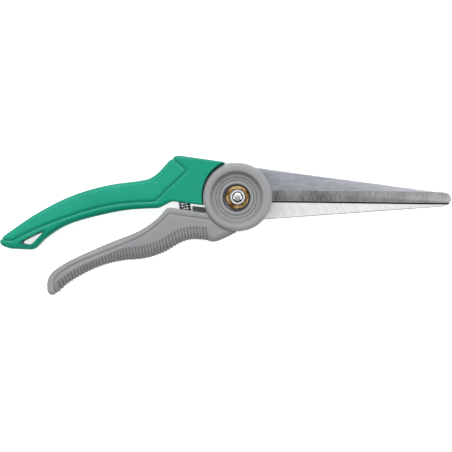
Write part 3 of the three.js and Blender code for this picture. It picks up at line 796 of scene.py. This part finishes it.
def pivot_nut():
    """A hexagonal nut with chamfered corners and a countersunk thread mouth."""
    low, high = box_mm("pivot_nut")
    flats = (high[0] - low[0]) / 2
    angle = np.linspace(0, 2 * np.pi, NUT_SIDES, endpoint=False)
    hexagon = flats / np.cos(angle % (np.pi / 3) - np.pi / 6)
    face_r = flats - CORNER_CUT
    corner_drop = np.maximum(hexagon - face_r, 0) * math.tan(math.radians(30))
    half_profile = [
        (THREAD_HOLE_R, THREAD_MOUTH),
        (THREAD_HOLE_R + THREAD_MOUTH, 0),
        (face_r, 0),
        (hexagon, corner_drop),
    ]
    rings = [ring(radius, low[2] + drop, sides=NUT_SIDES) for radius, drop in half_profile]
    rings += [ring(radius, high[2] - drop, sides=NUT_SIDES) for radius, drop in half_profile[::-1]]
    points, faces = lofted(rings)
    looks = ["nut_top_painted_highlight", "nut_side_painted_shade"]
    nut = make_object("hex_nut", points, faces, PALM, ["pivot_nut"], looks, 14)
    # Level faces get the painted highlight, the sides and chamfers the painted shade.
    for face in nut.data.polygons:
        face.material_index = 0 if abs(face.normal.z) > 0.95 else 1
    return nut


def turned_piece(name, node, profile, rounding, look):
    """A piece of the palm side, turned about its CAD node's own axis from a closed (r, z)
    profile."""
    centre = centre_mm(node)
    rings = [ring(r, z, centre, 96) for r, z in fillet(profile, rounding)]
    points, faces = lofted(rings)
    return make_object(name, points, faces, PALM, [node], [look], 40)


WASHER_HOLE_R = 3.5


def brass_washer():
    """A flat washer. Its profile closes in the middle of its lower face."""
    low, high = box_mm("brass_washer")
    radius = (high[0] - low[0]) / 2
    middle = (WASHER_HOLE_R + radius) / 2
    profile = [
        (middle, low[2]), (radius, low[2]), (radius, high[2]), (WASHER_HOLE_R, high[2]),
        (WASHER_HOLE_R, low[2]), (middle - 0.1, low[2]),
    ]
    return turned_piece("washer_brass", "brass_washer", profile, 0.22, "brass")


SHANK_R = 3.2
HEAD_T = 5.9
THREAD_PITCH = 1.0
THREAD_DEPTH = 0.35
THREAD_END = 1.3  # below the bolt's tip
DOME_R = 2.8
AXIS_R = 0.02  # a profile stops this short of the axis


def pivot_bolt():
    """Bolt with a flat flush head, a threaded shank and a domed end."""
    low, high = box_mm("pivot_bolt")
    head_r = (high[0] - low[0]) / 2
    top, head_top = high[2], low[2] + HEAD_T
    profile = [(AXIS_R, low[2]), (head_r - 0.5, low[2]), (head_r, low[2] + 0.5)]
    profile += [(head_r, head_top), (SHANK_R, head_top)]
    z = box_mm("brass_washer")[0][2]
    while z + THREAD_PITCH < top - THREAD_END:
        profile += [(SHANK_R, z), (SHANK_R - THREAD_DEPTH, z + THREAD_PITCH / 2)]
        z += THREAD_PITCH
    profile += [(SHANK_R, z), (SHANK_R, top - THREAD_END), (DOME_R, top - 0.5)]
    profile += [(DOME_R * 0.6, top - 0.12), (AXIS_R, top)]
    bolt = turned_piece("bolt", "pivot_bolt", profile, 0.25, "steel")
    # Painted shade on the shank and its chamfer below the dome: a dark ring round the dome.
    bolt.data.materials.append(LOOKS["nut_side_painted_shade"])
    for face in bolt.data.polygons:
        centre = face.center / MM
        if math.hypot(centre.x, centre.y) > DOME_R and centre.z > head_top + 1:
            face.material_index = 1
    return bolt


# ---- blades -----------------------------------------------------------------------------
HEEL = (22.2, -2.3)  # where the front blade's bevel begins, beside the hub
TIP = (136.3, -3.72)  # where its edge ends
EASED_EDGE = 0.35
EDGE_AND_SHADOW_PROFILE = (  # of the strip below the bevel, a honed facet over a painted shadow: sideways from the edge line, and upwards
    (0.4, 0.62), (0.15, 0.55), (-0.05, 0.5), (-0.95, 0.03), (-0.8, -0.05), (0.3, -0.05),
)
FRONT_LOOKS = ["blade_body", "blade_bevel"]
BACK_LOOKS = ["blade_body", "blade_bevel", "blade_face"]


def at_heel(edge):
    """Whether an edge of a blade stands where the front bevel begins."""
    return all(abs(vertex.co.x / MM - HEEL[0]) < 0.4 for vertex in edge.verts)


def ease_weight(edge):
    """How much of the easing an edge of a blade gets. The heel's edges stay sharp."""
    if at_heel(edge):
        return 0.0
    angle = math.degrees(edge.calc_face_angle(0.0))
    if angle > 60:
        return 1.0
    return 0.25 if angle > 12 else 0.0


def blade(name, node, body, looks, rim, pick):
    """The CAD blade with its flat faces merged, its edges eased in the rim's look, a painted
    highlight on the front blade and painted shade on the back one, and the finish that pick
    gives for each face."""
    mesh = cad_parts[node].data.copy()
    mesh.name = name
    mesh.materials.clear()
    edit = bmesh.new()
    edit.from_mesh(mesh)
    bmesh.ops.remove_doubles(edit, verts=edit.verts, dist=1e-6)
    bmesh.ops.dissolve_limit(
        edit, angle_limit=math.radians(0.6), verts=edit.verts, edges=edit.edges,
        use_dissolve_boundaries=False,
    )
    for face in edit.faces:
        face.smooth = True
        face.material_index = pick(face.normal, face.calc_center_median() / MM)
    weights = edit.edges.layers.float.new("bevel_weight_edge")
    for edge in edit.edges:
        edge[weights] = ease_weight(edge)
        if at_heel(edge):
            edge.smooth = False
    edit.to_mesh(mesh)
    edit.free()
    for look in (*looks, rim):
        mesh.materials.append(LOOKS[look])
    piece = bpy.data.objects.new(name, mesh)
    bpy.context.scene.collection.objects.link(piece)
    bevel = piece.modifiers.new("eased", "BEVEL")
    bevel.material = len(looks)
    bevel.width = EASED_EDGE * MM
    bevel.segments = 2
    bevel.limit_method = "WEIGHT"
    bevel.use_clamp_overlap = False
    bevel.harden_normals = True
    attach(piece, body)
    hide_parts(node)
    return piece


def on_bevel(normal, middle):
    """Whether a face is tilted and lies beyond the heel."""
    return 0.2 < abs(normal.z) < 0.995 and middle[0] > 20


def front_finish(normal, middle):
    """Place in FRONT_LOOKS: brushed all over, with crosswise grinding on the bevel."""
    return 1 if on_bevel(normal, middle) else 0


def back_finish(normal, middle):
    """Place in BACK_LOOKS: like the front blade, with a lapped face towards it."""
    if on_bevel(normal, middle):
        return 1
    return 2 if normal.z > 0.99 else 0


def cutting_edge():
    """The strip below the front blade's bevel: a fine honed facet with a painted highlight, then a
    steep near-black facet, a painted shadow of the edge, that ends on the back blade's face."""
    bottom = box_mm("front_blade")[0][2]
    points = [(x, y + side, bottom + rise) for x, y in (HEEL, TIP) for side, rise in EDGE_AND_SHADOW_PROFILE]
    count = len(EDGE_AND_SHADOW_PROFILE)
    faces = [(i, (i + 1) % count, count + (i + 1) % count, count + i) for i in range(count)]
    faces += [tuple(range(count)), tuple(range(count, 2 * count))]
    looks = ["edge_painted_shadow", "edge_painted_highlight"]
    strip = make_object("honed_edge_and_painted_shadow", points, faces, FINGER, [], looks, 5)
    # Faces high up and facing up get the painted highlight, the rest the painted shadow.
    for face in strip.data.polygons:
        above = face.center.z / MM > bottom + 0.4
        face.material_index = 1 if above and face.normal.z > 0.5 else 0
    return strip


# ---- spring -----------------------------------------------------------------------------
COIL_R = 3.2
WIRE_R = 0.75
WIRE_SIDES = 12
TURNS = 9.5
TURN_STEPS = 40
CLOSED_TURNS = 0.75  # at each end, wound close
CLOSED_PITCH = 1.2 * WIRE_R  # their wire overlaps a little, so that no gap shows
SPRING_START = -1.2  # along its axis, from the middle of the finger side's seat
SPRING_LENGTH = 16.4


def coil_height(turn):
    """How far along its axis the wire's centre is after this many turns."""
    middle = TURNS - 2 * CLOSED_TURNS
    opened = min(max(turn - CLOSED_TURNS, 0), middle)
    room = SPRING_LENGTH - 2 * WIRE_R - 2 * CLOSED_TURNS * CLOSED_PITCH
    return WIRE_R + (turn - opened) * CLOSED_PITCH + opened / middle * room


def coil_spring():
    """A compression spring with closed ends. It stretches between the two handles."""
    start, axis = (Vector(v) for v in spring_axis())
    side = axis.orthogonal().normalized()
    other = axis.cross(side)
    low = start + axis * SPRING_START
    steps = int(TURNS * TURN_STEPS)
    around = [2 * math.pi * k / WIRE_SIDES for k in range(WIRE_SIDES)]
    points = []
    for i in range(steps + 1):
        turn = i / steps * TURNS
        angle = 2 * math.pi * turn
        out = side * math.cos(angle) + other * math.sin(angle)
        centre = low + axis * coil_height(turn) + out * COIL_R
        points += [centre + (out * math.cos(a) + axis * math.sin(a)) * WIRE_R for a in around]
    faces = []
    for here in range(0, steps * WIRE_SIDES, WIRE_SIDES):
        there = here + WIRE_SIDES
        for k in range(WIRE_SIDES):
            j = (k + 1) % WIRE_SIDES
            faces.append((here + k, here + j, there + j, there + k))
    faces.append(tuple(range(WIRE_SIDES))[::-1])
    faces.append(tuple(steps * WIRE_SIDES + k for k in range(WIRE_SIDES)))
    mesh = bpy.data.meshes.new("spring_coil")
    mesh.from_pydata([point * MM for point in points], [], faces)
    mesh.polygons.foreach_set("use_smooth", [True] * len(mesh.polygons))
    mesh.materials.append(LOOKS["spring_steel"])
    piece = bpy.data.objects.new("spring_coil", mesh)
    bpy.context.scene.collection.objects.link(piece)
    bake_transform(piece)
    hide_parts("coil_spring")
    return piece


# ---- small pieces -----------------------------------------------------------------------
def soft_block(name, node, body, slot, radius, step=0.25):
    """A CAD prism with softly rounded edges."""
    low, high = box_mm(node)
    axes = grid_over(low, high, step, 0.8)
    x, y = np.meshgrid(axes[0], axes[1], indexing="ij")
    middle, half = (low[2] + high[2]) / 2, (high[2] - low[2]) / 2
    flat = signed_distance(section(node, middle), x, y)
    height = np.abs(axes[2] - middle) - half
    values = rounded_both(flat[:, :, None], height[None, None, :], radius)
    points, faces = surface(values, np.array([a[0] for a in axes]), step)
    return make_object(name, points, faces, body, [node], [slot], 70)


STEEL_NODES = (
    "pivot_bushing", "head_washer", "palm_tang_pin_1", "palm_tang_pin_2", "finger_tang_pin_1",
    "finger_tang_pin_2", "catch_pin", "catch_stud",
)
BLACK_NODES = ("palm_spring_seat", "finger_spring_seat")


def dress_cad_nodes():
    """Gives the small CAD pieces that stay shown their finish and eased edges."""
    for node in STEEL_NODES + BLACK_NODES:
        look = "steel" if node in STEEL_NODES else "black_plastic"
        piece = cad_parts[node]
        piece.data.materials.clear()
        piece.data.materials.append(LOOKS[look])
        bevel = piece.modifiers.new("eased", "BEVEL")
        bevel.width = 0.15 * MM
        bevel.segments = 2
        bevel.limit_method = "ANGLE"
        bevel.angle_limit = math.radians(40)


def build_shears():
    handle_piece(
        "palm_handle_shell", "palm_handle", "palm_grip_pad", PALM, "palm_plastic",
        edge_radii=(1.3, 3.4), step=0.4,
    )
    handle_piece(
        "palm_pad_shell", "palm_grip_pad", "palm_handle", PALM, "palm_soft",
        edge_radii=(1.3, 2.6), step=0.35,
    )
    handle_piece(
        "finger_handle_shell", "finger_handle", "finger_grip_pad", FINGER, "finger_plastic",
        edge_radii=(1.2, 2.2), step=0.35, seam=0.35,
    )
    handle_piece(
        "finger_pad_shell", "finger_grip_pad", "finger_handle", FINGER, "finger_soft",
        edge_radii=(4.0, 5.0), step=0.335, seam=0.35, ribs=True,
    )
    hub_cover("front_cover", "front_hub_cover", FINGER, "finger_plastic")
    hub_cover("rear_cover", "rear_hub_cover", PALM, "palm_plastic")
    blade("front_blade_ground", "front_blade", FINGER, FRONT_LOOKS, "rim_painted_highlight", front_finish)
    blade("back_blade_ground", "back_blade", PALM, BACK_LOOKS, "rim_painted_shade", back_finish)
    cutting_edge()
    pivot_nut()
    pivot_bolt()
    brass_washer()
    coil_spring()
    soft_block("bumper", "stop_bumper", FINGER, "dark_rubber", 0.6)
    soft_block("catch", "catch_lever", "catch", "black_plastic", 0.5)
    dress_cad_nodes()


# ---- stage ------------------------------------------------------------------------------
CAMERA_HEIGHT = 1.3
VIEW_CENTRE = (-0.0074, -0.0185)
VIEW_WIDTH = 0.2903
FLOOR_REACH = 3.0
FLOOR_Z = -0.0004  # just below the object's lowest faces
FLOOR_GLOW = 0.78  # makes the floor as white as a lit backdrop


def area_light(name, place, size, power):
    """A rectangular lamp that faces the origin."""
    data = bpy.data.lights.new(name, "AREA")
    data.shape = "RECTANGLE"
    data.size, data.size_y = size
    data.energy = power
    lamp = bpy.data.objects.new(name, data)
    lamp.location = place
    lamp.rotation_mode = "QUATERNION"
    aim = Vector((0, 0, 0)) - Vector(place)
    lamp.rotation_quaternion = aim.to_track_quat("-Z", "Y")
    bpy.context.scene.collection.objects.link(lamp)


def studio_world():
    """Soft light from above, brighter from +Y than from -Y and dim near the floor."""
    world = bpy.data.worlds.new("studio")
    world.use_nodes = True
    nodes, links = world.node_tree.nodes, world.node_tree.links
    coords = nodes.new("ShaderNodeTexCoord")
    parts = nodes.new("ShaderNodeSeparateXYZ")
    links.new(coords.outputs["Generated"], parts.inputs["Vector"])

    def graded(axis, start, end, low, high):
        level = nodes.new("ShaderNodeMapRange")
        settings = {"From Min": start, "From Max": end, "To Min": low, "To Max": high}
        for name, value in settings.items():
            level.inputs[name].default_value = value
        links.new(parts.outputs[axis], level.inputs["Value"])
        return level.outputs["Result"]

    strength = nodes.new("ShaderNodeMath")
    strength.operation = "MULTIPLY"
    links.new(graded("Y", -1.0, 0.6, 0.2, 0.78), strength.inputs[0])
    links.new(graded("Z", 0.0, 0.5, 0.3, 1.0), strength.inputs[1])
    links.new(strength.outputs[0], nodes["Background"].inputs["Strength"])
    nodes["Background"].inputs["Color"].default_value = (1, 1, 1, 1)
    bpy.context.scene.world = world


def lit_floor():
    """A white floor that glows a little, so that no shadow on it gets dark."""
    r = FLOOR_REACH
    mesh = bpy.data.meshes.new("floor")
    mesh.from_pydata([(-r, -r, 0), (r, -r, 0), (r, r, 0), (-r, r, 0)], [], [(0, 1, 2, 3)])
    look = Look("floor_lit").set(Roughness=0.9, Specular_IOR_Level=0.1)
    fibres = look.noise((0.2, 0.2, 0.2), detail=4.0)
    look.to("Base Color", look.colours(fibres, rgb(200, 200, 200), rgb(206, 206, 206)))
    look.set(Emission_Color=(1, 1, 1, 1), Emission_Strength=FLOOR_GLOW)
    mesh.materials.append(look.material)
    floor = bpy.data.objects.new("floor", mesh)
    floor.location = (0, 0, FLOOR_Z)
    bpy.context.scene.collection.objects.link(floor)


def top_camera():
    """Looks straight down, and takes in VIEW_WIDTH at the height of the front blade."""
    data = bpy.data.cameras.new("camera")
    data.sensor_width = 36
    blade_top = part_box("front_blade")[1][2]
    data.lens = data.sensor_width * (CAMERA_HEIGHT - blade_top) / VIEW_WIDTH
    data.clip_start, data.clip_end = 0.01, 20
    camera = bpy.data.objects.new("camera", data)
    camera.location = (*VIEW_CENTRE, CAMERA_HEIGHT)
    bpy.context.scene.collection.objects.link(camera)
    bpy.context.scene.camera = camera


def stage():
    bpy.context.scene.view_settings.view_transform = "Standard"
    lit_floor()
    studio_world()
    area_light("key", (0.0, 1.1, 1.1), (1.6, 0.8), 20)
    area_light("left", (-1.3, -0.2, 1.0), (0.8, 0.8), 7)
    area_light("right", (1.3, -0.3, 1.0), (0.8, 0.8), 7)
    top_camera()


build_shears()
stage()
